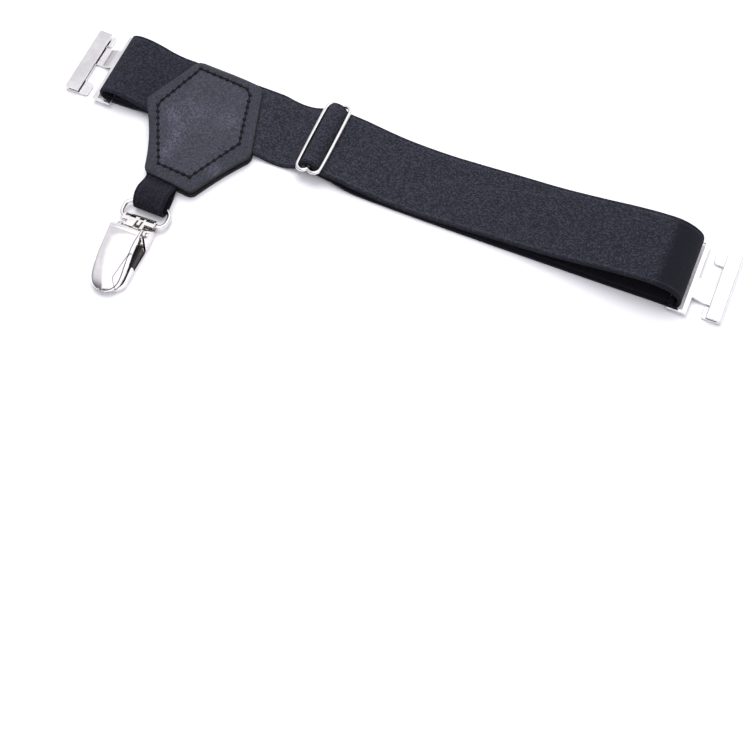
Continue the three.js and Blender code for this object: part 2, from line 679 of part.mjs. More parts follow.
function hingePin() {
  const inside = BASE.rearHalf - EAR.lean * PIN.z + RIVET_HEAD.gap;
  const outside = inside + RIVET_HEAD.thickness;
  return join(
    barAlongX(PIN.radius, -inside - 0.2, inside + 0.2, PIN.y, PIN.z, 14),
    barAlongX(RIVET_HEAD.radius, -outside, -inside, PIN.y, PIN.z, 14),
    barAlongX(RIVET_HEAD.radius, inside, outside, PIN.y, PIN.z, 14),
  );
}

// Jaw insert
// A dark moulded tray in the mouth that keeps the metal off the sock: a flat floor, half wide,
// between side walls that reach from half to inner.
function jawInsert() {
  const rows = [
    { y: -70.4, half: 6.6, inner: 4.9, wallTop: 5.2, floor: 3.5 },
    { y: -74.5, half: 6.4, inner: 4.9, wallTop: 4.6, floor: 3.5 },
    { y: -78.8, half: 6.1, inner: 4.8, wallTop: 3.9, floor: 3.4 },
    { y: -79.4, half: 5.1, inner: 4.4, wallTop: 3.6, floor: 3.2 },
    { y: -84, half: 4.7, inner: 3.9, wallTop: 2.8, floor: 2.5 },
    { y: -88, half: 2.8, inner: 2, wallTop: 2.1, floor: 1.9 },
  ];
  const bottom = BASE.wall + 0.3;
  return skin(rows.map(({ y, half, inner, wallTop, floor }) => [
    [-half, bottom], [half, bottom], [half, wallTop], [inner, wallTop],
    [inner, floor], [-inner, floor], [-inner, wallTop], [-half, wallTop],
  ].map(([x, z]) => new THREE.Vector3(x, y, z))));
}

// Where the hooks lie: the left one as drawn, the right one turned half round
const LEFT_HOOK = { x: -162.8, y: 0 };
const RIGHT_HOOK = { x: 108.6, y: 0 };

function placedHook(name, { x, y }, turn) {
  const mesh = piece(name, hook(), "nickel");
  mesh.rotation.z = turn;
  mesh.position.set(x, y, 0);
  return mesh;
}

const suspender = new THREE.Group();
const hanging = new THREE.Group();
hanging.add(
  piece("ring", ring(), "nickel"),
  piece("clip_base", clipBase(), "nickel"),
  piece("jaw_insert", jawInsert(), "insert"),
  piece("hinge_pin", hingePin(), "nickel"),
  piece("clip_cover", clipCover(), "nickel"),
);
const bar = new THREE.Vector3(0, RING.barY, 0);
hanging.rotation.z = CLIP.turn;
hanging.position.set(CLIP.x, 0, 0).add(bar).sub(bar.clone().applyEuler(hanging.rotation));
suspender.add(
  piece("calf_band", calfBand(), "webbing"),
  piece("hook_loop", hookLoop(), "webbing"),
  piece("clip_strap", clipStrap(), "webbing"),
  piece("patch_front", frontLeather(), "leather"),
  piece("patch_back", backLeather(), "leather"),
  piece("slider", slider(), "nickel"),
  placedHook("left_hook", LEFT_HOOK, 0),
  placedHook("right_hook", RIGHT_HOOK, Math.PI),
  hanging,
);

// The origin is under the middle of the whole, on the table
const reach = new THREE.Box3().setFromObject(suspender);
const middle = reach.getCenter(new THREE.Vector3());
suspender.position.set(-middle.x, -middle.y, -reach.min.z);
suspender.updateMatrixWorld(true);

export default suspender;
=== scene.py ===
# A sock suspender lying unfastened on a pale table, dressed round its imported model.
# Metres, +Z up. The calf band runs along X and the clip points towards -Y.
import math

import bmesh
import bpy
from mathutils import Matrix, Vector, noise


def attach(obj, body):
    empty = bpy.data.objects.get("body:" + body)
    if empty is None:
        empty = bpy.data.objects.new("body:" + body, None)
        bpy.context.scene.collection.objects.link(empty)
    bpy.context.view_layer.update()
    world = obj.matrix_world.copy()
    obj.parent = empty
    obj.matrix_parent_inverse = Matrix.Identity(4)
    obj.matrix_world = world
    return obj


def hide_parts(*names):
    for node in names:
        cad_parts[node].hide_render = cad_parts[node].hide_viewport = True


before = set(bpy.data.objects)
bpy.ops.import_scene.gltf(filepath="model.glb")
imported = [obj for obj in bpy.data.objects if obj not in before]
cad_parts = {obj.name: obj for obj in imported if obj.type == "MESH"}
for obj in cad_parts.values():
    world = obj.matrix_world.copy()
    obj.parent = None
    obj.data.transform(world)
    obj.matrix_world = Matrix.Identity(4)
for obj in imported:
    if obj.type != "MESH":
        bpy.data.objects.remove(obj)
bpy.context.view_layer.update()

# Table, light and camera
# A white matt table under one wide soft lamp above its far side. The metal mirrors the room alone:
# a pale left wall, dark other walls, a window beyond the table and a white screen overhead. The
# camera looks down from the near side, a little from the right.
MM = 0.001
DRAWING_AT = Vector((0.0271, 0.037071, 0))
CAMERA_AZIMUTH, CAMERA_ELEVATION = math.radians(23), math.radians(65.84)
CAMERA_TOWARDS, CAMERA_DISTANCE = (0, -82.3, 0), 0.4688
CAMERA_LENS = 62.4
TABLE_HALF, TABLE_BELOW = 3.0, 0.0001
LAMP_AT, LAMP_ACROSS, LAMP_WATTS = Vector((-0.25, 0.45, 1.0)), 1.0, 10.5
SCREEN_TOWARDS = (0.35, -0.1, 0.93)
PALE_WALL_TOWARDS, NEAR_TOWARDS, WINDOW_TOWARDS = (-0.6, 0.8, 0), (0, -1, 0), (0, 1, 0)
DARK_WALL, PALE_WALL = (0.05, 0.05, 0.07, 1), (0.55, 0.55, 0.59, 1)
CEILING, NEAR_SIDE = (0.88, 0.87, 0.92, 1), (0.16, 0.15, 0.17, 1)
SCREEN, WINDOW = (1.35, 1.33, 1.37, 1), (1.12, 1.11, 1.12, 1)


def at(x, y, z):
    """A point measured in millimetres on the band's own drawing, as a point of the frame."""
    return DRAWING_AT + Vector((x, y, z)) * MM


scene = bpy.context.scene
scene.view_settings.view_transform = "Standard"

back = Vector((
    math.sin(CAMERA_AZIMUTH) * math.cos(CAMERA_ELEVATION),
    -math.cos(CAMERA_AZIMUTH) * math.cos(CAMERA_ELEVATION),
    math.sin(CAMERA_ELEVATION)))
camera = bpy.data.objects.new("camera", bpy.data.cameras.new("camera"))
camera.data.lens = CAMERA_LENS
camera.location = at(*CAMERA_TOWARDS) + back * CAMERA_DISTANCE
camera.rotation_mode = "QUATERNION"
camera.rotation_quaternion = (-back).to_track_quat("-Z", "Y")
scene.collection.objects.link(camera)
scene.camera = camera

lamp = bpy.data.objects.new("lamp", bpy.data.lights.new("lamp", "AREA"))
lamp.data.shape = "DISK"
lamp.data.size = LAMP_ACROSS
lamp.data.energy = LAMP_WATTS
lamp.visible_glossy = False
lamp.location = LAMP_AT
lamp.rotation_mode = "QUATERNION"
lamp.rotation_quaternion = (-LAMP_AT).to_track_quat("-Z", "Y")
scene.collection.objects.link(lamp)


class Value:
    """A socket of a finish. Arithmetic on it adds Math nodes, and node() adds any other node."""

    def __init__(self, tree, socket=None):
        self.tree, self.socket = tree, socket

    def node(self, kind, settings=None, inputs=None, output=0):
        made = self.tree.nodes.new(kind)
        for name, setting in (settings or {}).items():
            setattr(made, name, setting)
        for key, given in (inputs or {}).items():
            if isinstance(given, Value):
                self.tree.links.new(given.socket, made.inputs[key])
            else:
                made.inputs[key].default_value = given
        return Value(self.tree, made.outputs[output])

    def math(self, operation, *others):
        inputs = dict(enumerate((self, *others)))
        return self.node("ShaderNodeMath", {"operation": operation}, inputs)

    def __add__(self, other):
        return self.math("ADD", other)

    def __radd__(self, other):
        return self.math("ADD", other)

    def __sub__(self, other):
        return self.math("SUBTRACT", other)

    def __rsub__(self, other):
        return self.node("ShaderNodeMath", {"operation": "SUBTRACT"}, {0: other, 1: self})

    def __mul__(self, other):
        return self.math("MULTIPLY", other)

    def __rmul__(self, other):
        return self.math("MULTIPLY", other)

    def __truediv__(self, other):
        return self.math("DIVIDE", other)

    def rising(self, low, high):
        """0 below low and 1 above high, with a smooth step between."""
        return self.node("ShaderNodeMapRange", {"interpolation_type": "SMOOTHSTEP"},
                         {"Value": self, "From Min": low, "From Max": high})

    def between(self, first, second):
        """The colour that goes from first to second as this value goes from 0 to 1."""
        inputs = {0: self, 6: first, 7: second}
        return self.node("ShaderNodeMix", {"data_type": "RGBA"}, inputs, 2)


def start_finish(name, **constants):
    """A finish with constants on its shader, a Value to build nodes from, and the shader."""
    finish = bpy.data.materials.new(name)
    finish.use_nodes = True
    shader = finish.node_tree.nodes["Principled BSDF"]
    for socket, constant in constants.items():
        shader.inputs[socket.replace("_", " ")].default_value = constant
    return finish, Value(finish.node_tree), shader


def feed(value, shader, socket):
    """Links a value to a socket of a finish's shader."""
    value.tree.links.new(value.socket, shader.inputs[socket])


def finished(name, mesh, finish, body, smooth=40):
    """The object of a mesh that has its place, with its finish, riding on a body."""
    data = bpy.data.meshes.new(name)
    mesh.to_mesh(data)
    mesh.free()
    for face in data.polygons:
        face.use_smooth = True
    data.set_sharp_from_angle(angle=math.radians(smooth))
    data.materials.append(finish)
    piece = bpy.data.objects.new(name, data)
    scene.collection.objects.link(piece)
    if body:
        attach(piece, body)
    return piece


room = bpy.data.worlds.new("room")
room.use_nodes = True
scene.world = room
sky = Value(room.node_tree)
ray = sky.node("ShaderNodeTexCoord", output=0)
height = sky.node("ShaderNodeSeparateXYZ", inputs={0: ray}, output=2)
towards_screen, towards_pale_wall, towards_near, towards_window = [
    sky.node("ShaderNodeVectorMath", {"operation": "DOT_PRODUCT"}, {0: ray, 1: direction}, 1)
    for direction in (SCREEN_TOWARDS, PALE_WALL_TOWARDS, NEAR_TOWARDS, WINDOW_TOWARDS)]
walls = towards_pale_wall.rising(-0.4, 1.0).between(DARK_WALL, PALE_WALL)
room_colour = height.rising(0.0, 0.75).between(walls, CEILING)
room_colour = towards_near.rising(0.45, 0.75).between(room_colour, NEAR_SIDE)
room_colour = towards_window.rising(0.66, 0.8).between(room_colour, WINDOW)
screen = towards_screen.rising(0.54, 0.7) * height.rising(0.25, 0.5)
room_colour = screen.between(room_colour, SCREEN)
room.node_tree.links.new(room_colour.socket, room.node_tree.nodes["Background"].inputs["Color"])

table_white = start_finish("table_white", Base_Color=(0.78, 0.78, 0.81, 1), Roughness=0.9,
                           Specular_IOR_Level=0.1)[0]
table_mesh = bmesh.new()
bmesh.ops.create_grid(table_mesh, x_segments=1, y_segments=1, size=TABLE_HALF)
table = finished("table", table_mesh, table_white, None)
table.location.z = -TABLE_BELOW

# Calf band
# One length of woven elastic, 30 mm wide: sewn under the patch, over the slider's middle bar, out
# to the right hook, round its frame, and back to the bar, where the end is turned under and sewn.
BAND_WIDTH, BAND_THICKNESS, EDGE_ROUND = 30, 1.2, 0.3
ROUTE_SPACING, BAND_STEPS_ACROSS = 1.3, 20
CORD_PITCH, PICK_PITCH = 0.00043, 0.0006
# Where painted shade starts to darken the band at the right fold, and where it is full, in metres
# along the band.
FOLD_SHADE_PAINTED_FROM, FOLD_SHADE_PAINTED_FULL_AT = 0.194, 0.198
SLIDER_X, SLIDER_Y, SLIDER_Z = -56.7, 0.4, 5.6
TAIL_RADIUS, HUMP_RADIUS = 1.62, 3.02


def woven_elastic(name, light, dark):
    """Fine cords along the webbing, each crossed by short picks in brick order, with a plain
    selvedge. Painted shade darkens it towards its far end and much more from the right fold on.
    Weave is a map in metres, and edge_mm is the distance from the nearer edge."""
    finish, start, shader = start_finish(
        name, Roughness=0.82, Specular_IOR_Level=0.1, Sheen_Weight=0.03, Sheen_Roughness=0.5,
        Sheen_Tint=(0.7, 0.72, 0.85, 1))
    weave = start.node("ShaderNodeUVMap", {"uv_map": "Weave"})
    along = start.node("ShaderNodeSeparateXYZ", inputs={0: weave}, output=0)
    across = start.node("ShaderNodeSeparateXYZ", inputs={0: weave}, output=1)
    edge = start.node("ShaderNodeAttribute", {"attribute_name": "edge_mm"}, output=2)
    cord = across / CORD_PITCH
    cord_number = cord.math("FLOOR")
    rib = ((cord - cord_number) * math.pi).math("SINE")
    pick = along / PICK_PITCH + cord_number * 0.5
    pick_number = pick.math("FLOOR")
    float_over = ((pick - pick_number) * math.pi).math("SINE")
    cell = start.node("ShaderNodeCombineXYZ", inputs={0: cord_number, 1: pick_number})
    chance = start.node("ShaderNodeTexWhiteNoise", {"noise_dimensions": "2D"}, {"Vector": cell})
    wear = start.node("ShaderNodeTexNoise", {"noise_dimensions": "2D"},
                      {"Vector": weave, "Scale": 140.0, "Detail": 3.0})
    body = edge.rising(0.75, 1.25)
    lit = rib * (0.35 + 0.65 * float_over)
    speck = chance * chance
    # Painted shade: darker along the band as the light falls off to the right, and much darker
    # where the band turns down at the right fold.
    painted_shade = (1.2 - along * 2.2) * (1 - along.rising(FOLD_SHADE_PAINTED_FROM, FOLD_SHADE_PAINTED_FULL_AT) * 0.8)
    tone = lit * (0.32 + speck * 1.45) * painted_shade * (0.85 + wear * 0.3) * (0.5 + 0.5 * body)
    line = edge.rising(1.2, 1.5) * (1 - edge.rising(1.6, 2.1))
    feed((tone + line * 0.18).between(dark, light), shader, "Base Color")
    feed(0.72 + chance * 0.2, shader, "Roughness")
    bump = start.node("ShaderNodeBump", inputs={
        "Strength": 0.75, "Distance": 0.00016, "Height": lit * (0.6 + 0.4 * body) + wear * 0.4})
    feed(bump, shader, "Normal")
    return finish


def through(points, spacing, least=4):
    """Points on a smooth line through the given ones, close together where those are."""
    ends = [2 * points[0] - points[1], *points, 2 * points[-1] - points[-2]]
    line = []
    for a, b, c, d in zip(ends, ends[1:], ends[2:], ends[3:]):
        k0 = 0.0
        k1 = k0 + (b - a).length ** 0.5
        k2 = k1 + (c - b).length ** 0.5
        k3 = k2 + (d - c).length ** 0.5
        steps = max(least, round((c - b).length / spacing))
        for i in range(steps):
            k = k1 + (k2 - k1) * i / steps
            ab = a.lerp(b, (k - k0) / (k1 - k0))
            bc = b.lerp(c, (k - k1) / (k2 - k1))
            cd = c.lerp(d, (k - k2) / (k3 - k2))
            abc = ab.lerp(bc, (k - k0) / (k2 - k0))
            bcd = bc.lerp(cd, (k - k1) / (k3 - k1))
            line.append(abc.lerp(bcd, (k - k1) / (k2 - k1)))
    return [*line, points[-1]]


def round_bar(x, z, radius, start, end, steps, drift, narrower):
    """Rows of a route round a bar, seen from the near side: 0 degrees is +X and 90 is up."""
    angles = [math.radians(start + (end - start) * i / steps) for i in range(steps + 1)]
    return [(x + radius * math.cos(a), z + radius * math.sin(a), drift, narrower) for a in angles]


def bend_webbing(rows, width, steps_across):
    """A flat grid bent along a route that runs along X, with the webbing's width along Y. Each
    row is x, z, drift along Y and how much narrower the webbing is there, in millimetres."""
    route = through([Vector(row) for row in rows], ROUTE_SPACING)
    steps = len(route) - 1
    mesh = bmesh.new()
    bmesh.ops.create_grid(mesh, x_segments=steps, y_segments=steps_across, size=0.5)
    run = [0.0]
    for before, after in zip(route, route[1:]):
        run.append(run[-1] + (after.xy - before.xy).length)
    weave = mesh.loops.layers.uv.new("Weave")
    edge = mesh.verts.layers.float.new("edge_mm")
    for face in mesh.faces:
        for loop in face.loops:
            station = round((loop.vert.co.x + 0.5) * steps)
            across = loop.vert.co.y * (width - route[station].w)
            loop[weave].uv = (run[station] * MM, across * MM)
    for vert in mesh.verts:
        station = round((vert.co.x + 0.5) * steps)
        x, z, drift, narrower = route[station]
        across = vert.co.y * (width - narrower)
        vert[edge] = (width - narrower) / 2 - abs(across)
        vert.co = (x, drift + across, z)
    return mesh


def lay(mesh, x=0, y=0, z=0):
    """Takes a mesh drawn in millimetres into the frame, moved by x, y and z on the drawing."""
    bmesh.ops.scale(mesh, vec=(MM, MM, MM), verts=mesh.verts)
    bmesh.ops.translate(mesh, vec=at(x, y, z), verts=mesh.verts)


def give_thickness(piece, thickness, edge_round):
    """Gives a bent grid the webbing's thickness, half to each side, and softly rounded edges."""
    wall = piece.modifiers.new("thickness", "SOLIDIFY")
    wall.thickness = thickness * MM
    wall.offset = 0
    wall.use_even_offset = True
    rounded = piece.modifiers.new("rounded", "BEVEL")
    rounded.width = edge_round * MM
    rounded.segments = 2
    rounded.limit_method = "ANGLE"
    rounded.angle_limit = math.radians(60)


wide_webbing = woven_elastic("wide_webbing", (0.052, 0.054, 0.071, 1), (0.006, 0.0062, 0.01, 1))
band_rows = [
    # x, z, drift and narrower: from the patch over the slider, out, round the hook and back
    (-108, 2.0, 0, 0), (-98, 2.0, 0, 0), (-83, 2.0, -0.1, 0), (-79.4, 1.95, -0.2, 0),
    (-76, 1.3, -0.4, 0), (-71.5, 0.7, -0.5, 0), (-67, 0.9, -0.3, 0), (-63.4, 1.95, 0.1, 0.2),
    (-61.1, 2.95, 0.4, 0.6), (-60, 4.3, 0.4, 0.6),
    *round_bar(SLIDER_X, SLIDER_Z, HUMP_RADIUS, 166, 28, 7, SLIDER_Y, 0.6),
    (-52.7, 4.9, 0.4, 0.6), (-50.6, 4.3, 0.3, 0.2), (-45, 3.9, 0.1, 0), (-36, 2.9, -0.3, 0),
    (-26, 2.2, -0.7, 0), (-10, 2.1, -0.8, 0), (4, 2.6, -0.4, 0), (20, 3.7, 0, 0),
    (36, 5.3, 0, 0), (52, 8.0, 0, 0), (66, 10.8, 0, 0), (76, 12.2, 0, 0), (82.5, 12.3, 0, 0),
    (87.6, 10.9, 0, 0.4), (91, 8.1, 0, 0.4), (92, 4.9, 0, 0.4), (91.8, 2.5, 0, 0.4),
    (90.7, 0.95, 0, 0.4), (89, 0.7, 0, 0.4), (85, 0.7, 0, 0.4), (62, 0.7, -0.3, 0),
    (40, 0.7, -0.6, 0), (18, 0.7, -0.9, 0), (-4, 0.7, -1.1, 0), (-24, 0.7, -1.1, 0),
    (-38, 0.85, -0.9, 0), (-46, 2.05, -0.4, 0.4), (-51.2, 2.95, 0.2, 1),
    (-53.5, 3.65, 0.4, 1.4), (-54.7, 4.8, 0.4, 1.4),
    *round_bar(SLIDER_X, SLIDER_Z, TAIL_RADIUS, 15, 220, 8, SLIDER_Y, 1.4),
    (-57.6, 3.4, 0.4, 1.4), (-56.4, 2.2, 0.4, 1.4), (-54, 1.65, 0.4, 1.4),
    (-51.5, 1.4, 0.2, 1.4), (-48, 0.95, 0, 1.4),
]
band_mesh = bend_webbing(band_rows, BAND_WIDTH, BAND_STEPS_ACROSS)
lay(band_mesh)
calf_band = finished("elastic_band", band_mesh, wide_webbing, "strap")
give_thickness(calf_band, BAND_THICKNESS, EDGE_ROUND)
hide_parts("calf_band")

# Hook loop
# A short length of the same webbing, folded round the left hook's frame and drawn in a little,
# with both ends sewn under the patch.
LOOP_WIDTH = 28.8
loop_webbing = woven_elastic("loop_webbing", (0.04, 0.041, 0.058, 1), (0.005, 0.005, 0.008, 1))
loop_rows = [
    # x, z and drift
    (-111, 2.0, 0.2), (-126, 2.0, 0.35), (-129.4, 1.95, 0.4), (-133.5, 1.2, 0.45),
    (-138.5, 0.7, 0.5), (-143, 0.7, 0.5), (-145.3, 0.9, 0.5), (-146.6, 2.1, 0.5),
    (-146.9, 4, 0.5), (-146, 6.2, 0.5), (-143, 7.3, 0.5), (-138.5, 7.2, 0.5), (-133, 5.8, 0.45),
    (-128.6, 4.3, 0.4), (-124, 3.45, 0.35), (-119, 3.4, 0.3), (-111, 3.4, 0.2),
]
loop_mesh = bend_webbing([(*row, 0) for row in loop_rows], LOOP_WIDTH, BAND_STEPS_ACROSS)
lay(loop_mesh)
hook_loop = finished("elastic_loop", loop_mesh, loop_webbing, "strap")
give_thickness(hook_loop, BAND_THICKNESS, EDGE_ROUND)
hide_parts("hook_loop")

# Clip strap
# Narrower elastic, 13 mm wide and darker: a loop that comes out from under the patch, passes
# through the ring and goes back.
STRAP_WIDTH, STRAP_THICKNESS, STRAP_EDGE_ROUND = 13, 1.0, 0.25
STRAP_X, STRAP_STEPS_ACROSS = -106.4, 10
narrow_webbing = woven_elastic(
    "narrow_webbing", (0.026, 0.025, 0.036, 1), (0.003, 0.003, 0.005, 1))
strap_rows = [
    # distance towards the clip, z, drift and narrower
    (19, 1.9, -0.3, 0), (38, 1.9, -0.3, 0), (42, 1.9, -0.1, 0), (45.5, 0.9, 0.2, 0),
    (48.5, 0.6, 0.5, 0.2), (51.5, 0.6, 0.8, 0.5), (53.3, 1.3, 0.9, 0.7), (54.1, 3, 0.9, 0.8),
    (53.3, 5.1, 0.7, 0.5), (50.6, 6.4, 0.4, 0), (47.2, 6.1, 0.1, 0), (44.4, 4.6, -0.1, 0),
    (41.8, 3.25, -0.3, 0), (38, 3.1, -0.4, 0), (19, 3.1, -0.4, 0),
]
strap_mesh = bend_webbing(strap_rows, STRAP_WIDTH, STRAP_STEPS_ACROSS)
bmesh.ops.rotate(strap_mesh, matrix=Matrix.Rotation(-math.pi / 2, 3, "Z"), verts=strap_mesh.verts)
lay(strap_mesh, STRAP_X)
clip_strap = finished("clip_elastic", strap_mesh, narrow_webbing, "strap")
give_thickness(clip_strap, STRAP_THICKNESS, STRAP_EDGE_ROUND)
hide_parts("clip_strap")

# Leather patch
# Two pieces of fine grained leather, cut alike and sewn together 4 mm inside the edge. The front
# one is drawn down over the webbing, pressed flat outside the seam and soft inside it.
LEATHER_THICKNESS = 1.2
SEAM_CORNERS = [
    (-115.1, 11.5), (-94.1, 10.1), (-91.9, 7.9), (-86.2, -14.2), (-97.0, -35.6), (-110.7, -34.8),
    (-122.9, -11.0), (-122.4, -8.0),
]
PATCH_MIDDLE, GRID_HALVES, GRID_STEPS = (-104.1, -13.5), (27.5, 31), (110, 124)
UNDERSIDE, LOWEST, LEFT_RISE = 4.2, 1.25, 0.8
CUT_EDGE_COLOUR = (0.012, 0.012, 0.014, 1)
GRAIN_DARKEST, GRAIN_LIGHTEST = (0.33, 0.33, 0.33, 1), (2.0, 2.0, 2.0, 1)
PAINTED_HIGHLIGHTS = [
    # x, y, reach and strength of the painted highlights, soft light patches where dents catch the
    # lamp
    (-115.8, -13.0, 3.2, 0.8), (-110.0, -18.0, 3.0, 0.7), (-109.5, -23.5, 3.2, 0.7),
    (-111.5, -30.0, 3.0, 0.7), (-94.5, -6.6, 4.0, 0.6), (-89.0, -29.0, 2.8, 1.0),
    (-108.0, -8.0, 6.0, 0.4),
]
PATCH_CORNERS = [
    # x, y, length of the rounding, pull of the side before the corner
    (-117.4, 14.6, 3.0, 0.0), (-88.8, 13.6, 4.0, 0.0), (-79.6, -17.6, 2.5, 0.0),
    (-93.6, -41.6, 2.5, 0.7), (-114.6, -39.6, 2.5, 0.0), (-128.6, -10.2, 3.0, 1.6),
]
seam_sides = [(Vector(here), Vector(there))
              for here, there in zip(SEAM_CORNERS, SEAM_CORNERS[1:] + SEAM_CORNERS[:1])]
corners = [Vector(corner[:2]) for corner in PATCH_CORNERS]
sides = []
for i, (here, row) in enumerate(zip(corners, PATCH_CORNERS)):
    before = corners[i - 1]
    run = (here - before).normalized()
    sides.append((before, here, Vector((-run.y, run.x)), row[3]))


def leather_grain(name, field, rim):
    """Fine grain of small pebbles with soft creases. inset_mm is the distance from the cut edge,
    seam_mm the distance inside the seam, and the highlight attribute is 1 where a highlight is
    painted into the colour, with a little less roughness there."""
    finish, start, shader = start_finish(name, Specular_IOR_Level=0.4)
    place = start.node("ShaderNodeTexCoord", output=3)
    inset = start.node("ShaderNodeAttribute", {"attribute_name": "inset_mm"}, output=2)
    seam = start.node("ShaderNodeAttribute", {"attribute_name": "seam_mm"}, output=2)
    painted_highlight = start.node("ShaderNodeAttribute", {"attribute_name": "painted_highlight"}, output=2)
    swell = start.node("ShaderNodeTexNoise",
                       inputs={"Vector": place, "Scale": 900.0, "Detail": 2.0})
    sideways = start.node("ShaderNodeTexNoise", inputs={"Vector": place, "Scale": 700.0}, output=1)
    bent = start.node("ShaderNodeMix", {"data_type": "VECTOR"},
                      {0: 0.0006, 4: place, 5: sideways}, 1)
    pebbles = start.node("ShaderNodeTexVoronoi", {"feature": "DISTANCE_TO_EDGE"},
                         {"Vector": bent, "Scale": 1500.0})
    crease = pebbles.rising(0.0, 0.16)
    patch = start.node("ShaderNodeTexNoise",
                       inputs={"Vector": place, "Scale": 75.0, "Detail": 4.0})
    fine = start.node("ShaderNodeTexNoise", inputs={"Vector": place, "Scale": 1300.0})
    edge_band = 1 - seam.rising(-0.9, -0.2)
    cut = 1 - inset.rising(0.02, 0.3)
    tone = edge_band.between(field, rim)
    speck = fine.rising(0.32, 0.68)
    # Painted highlight: soft speckled light patches are added to the colour from the highlight
    # attribute.
    lightness = patch * 0.2 + speck * 0.42 + painted_highlight * (0.1 + speck * 0.8)
    varied = lightness.between(GRAIN_DARKEST, GRAIN_LIGHTEST)
    toned = start.node("ShaderNodeMix", {"data_type": "RGBA", "blend_type": "MULTIPLY"},
                       {0: 1.0, 6: tone, 7: varied}, 2)
    shaded = (crease * 0.45 + 0.55).between((0, 0, 0, 1), toned)
    feed(cut.between(shaded, CUT_EDGE_COLOUR), shader, "Base Color")
    feed(0.42 + patch * 0.16 + (1 - crease) * 0.14 + cut * 0.3 - painted_highlight * 0.1, shader, "Roughness")
    bump = start.node("ShaderNodeBump", inputs={
        "Strength": 0.7, "Distance": 0.00012, "Height": crease * 0.6 + fine * 0.8 + swell * 0.4})
    feed(bump, shader, "Normal")
    return finish


def smooth_step(value, low, high):
    """0 below low and 1 above high, with a smooth step between."""
    t = min(max((value - low) / (high - low), 0), 1)
    return t * t * (3 - 2 * t)


def drape(x, y):
    """Height of the front leather's underside, in millimetres: lower where less webbing lies."""
    right = smooth_step(x, -102, -82) * LOWEST
    near = smooth_step(-y, 18, 40) * 0.45
    left = smooth_step(-x, 119, 129) * LEFT_RISE
    return UNDERSIDE + left - min(right + near, LOWEST)


def press(x, y, inset, seam):
    """How far the front leather's face stands proud of its even thickness, in millimetres."""
    rounded = -0.35 * (1 - smooth_step(inset, 0, 0.7)) ** 2
    groove = -0.2 * math.exp(-((seam / 0.7) ** 2))
    rim = 0.14 * smooth_step(inset, 0.4, 1.4) * (1 - smooth_step(seam, -1.5, 0))
    soft = 0.25 * smooth_step(seam, 0, 3.5)
    dent = 0.55 * noise.noise(Vector((x * 0.11, y * 0.085, 4.0)))
    return rounded + groove + rim + soft + dent * smooth_step(seam, 0, 6)


def seam_distance(point):
    """How far a point lies inside the nearest side of the seam, in millimetres."""
    distances = []
    for here, there in seam_sides:
        run = (there - here).normalized()
        distances.append((here - point).dot(Vector((-run.y, run.x))))
    return min(distances)


def cut_leather():
    """A fine grid cut to the patch's outline by its sides and rounded corners, lying at z = 0."""
    mesh = bmesh.new()
    bmesh.ops.create_grid(mesh, x_segments=GRID_STEPS[0], y_segments=GRID_STEPS[1], size=1)
    bmesh.ops.scale(mesh, vec=(*GRID_HALVES, 1), verts=mesh.verts)
    bmesh.ops.translate(mesh, vec=(*PATCH_MIDDLE, 0), verts=mesh.verts)
    cuts = [(before, outward) for before, _, outward, _ in sides]
    for i, (here, row) in enumerate(zip(corners, PATCH_CORNERS)):
        enter = here + (corners[i - 1] - here).normalized() * row[2]
        leave = here + (corners[(i + 1) % len(corners)] - here).normalized() * row[2]
        for t in (0.15, 0.38, 0.62, 0.85):
            point = enter.lerp(here, t).lerp(here.lerp(leave, t), t)
            run = here.lerp(leave, t) - enter.lerp(here, t)
            cuts.append((point, Vector((-run.y, run.x)).normalized()))
    for point, outward in cuts:
        geometry = [*mesh.verts, *mesh.edges, *mesh.faces]
        bmesh.ops.bisect_plane(mesh, geom=geometry, plane_co=(*point, 0),
                               plane_no=(*outward, 0), clear_outer=True)
    bmesh.ops.remove_doubles(mesh, verts=mesh.verts, dist=0.02)
    inset = mesh.verts.layers.float.new("inset_mm")
    seam = mesh.verts.layers.float.new("seam_mm")
    painted_highlight = mesh.verts.layers.float.new("painted_highlight")
    for vert in mesh.verts:
        away = min((before - vert.co.xy).dot(outward) for before, _, outward, _ in sides)
        vert[inset] = 0.0 if vert.is_boundary else away
        vert[seam] = seam_distance(vert.co.xy)
        # Soft round patches of painted highlight, stored in an attribute for the leather's finish.
        for x, y, reach, strength in PAINTED_HIGHLIGHTS:
            far = (vert.co.xy - Vector((x, y))).length / reach
            vert[painted_highlight] += strength * math.exp(-far ** 2)
    for vert in mesh.verts:
        for before, here, outward, pull in sides:
            side = here - before
            away = (before - vert.co.xy).dot(outward)
            share = (vert.co.xy - before).dot(side) / side.length_squared
            if pull and 0 < share < 1:
                strength = pull * 4 * share * (1 - share) * (1 - smooth_step(away, 0, 16))
                vert.co.xy -= outward * strength
    return mesh, inset, seam


def thicken_leather(mesh, inset, seam, lower, upper):
    """Turns the flat cut into a closed sheet between two heights over (x, y, inset, seam)."""
    faces = list(mesh.faces)
    made = bmesh.ops.extrude_face_region(mesh, geom=faces)["geom"]
    raised = {item for item in made if isinstance(item, bmesh.types.BMVert)}
    for vert in mesh.verts:
        surface = upper if vert in raised else lower
        vert.co.z = surface(vert.co.x, vert.co.y, vert[inset], vert[seam])
    bmesh.ops.recalc_face_normals(mesh, faces=mesh.faces)
    lay(mesh)


def front_face(x, y, inset, seam):
    """Height of the front leather's upper face, in millimetres."""
    return drape(x, y) + LEATHER_THICKNESS + press(x, y, inset, seam)


def back_underside(x, y, inset, seam):
    """Height of the back leather's underside, which the stitches draw up along the seam."""
    return 0.25 * math.exp(-((seam / 0.5) ** 2))


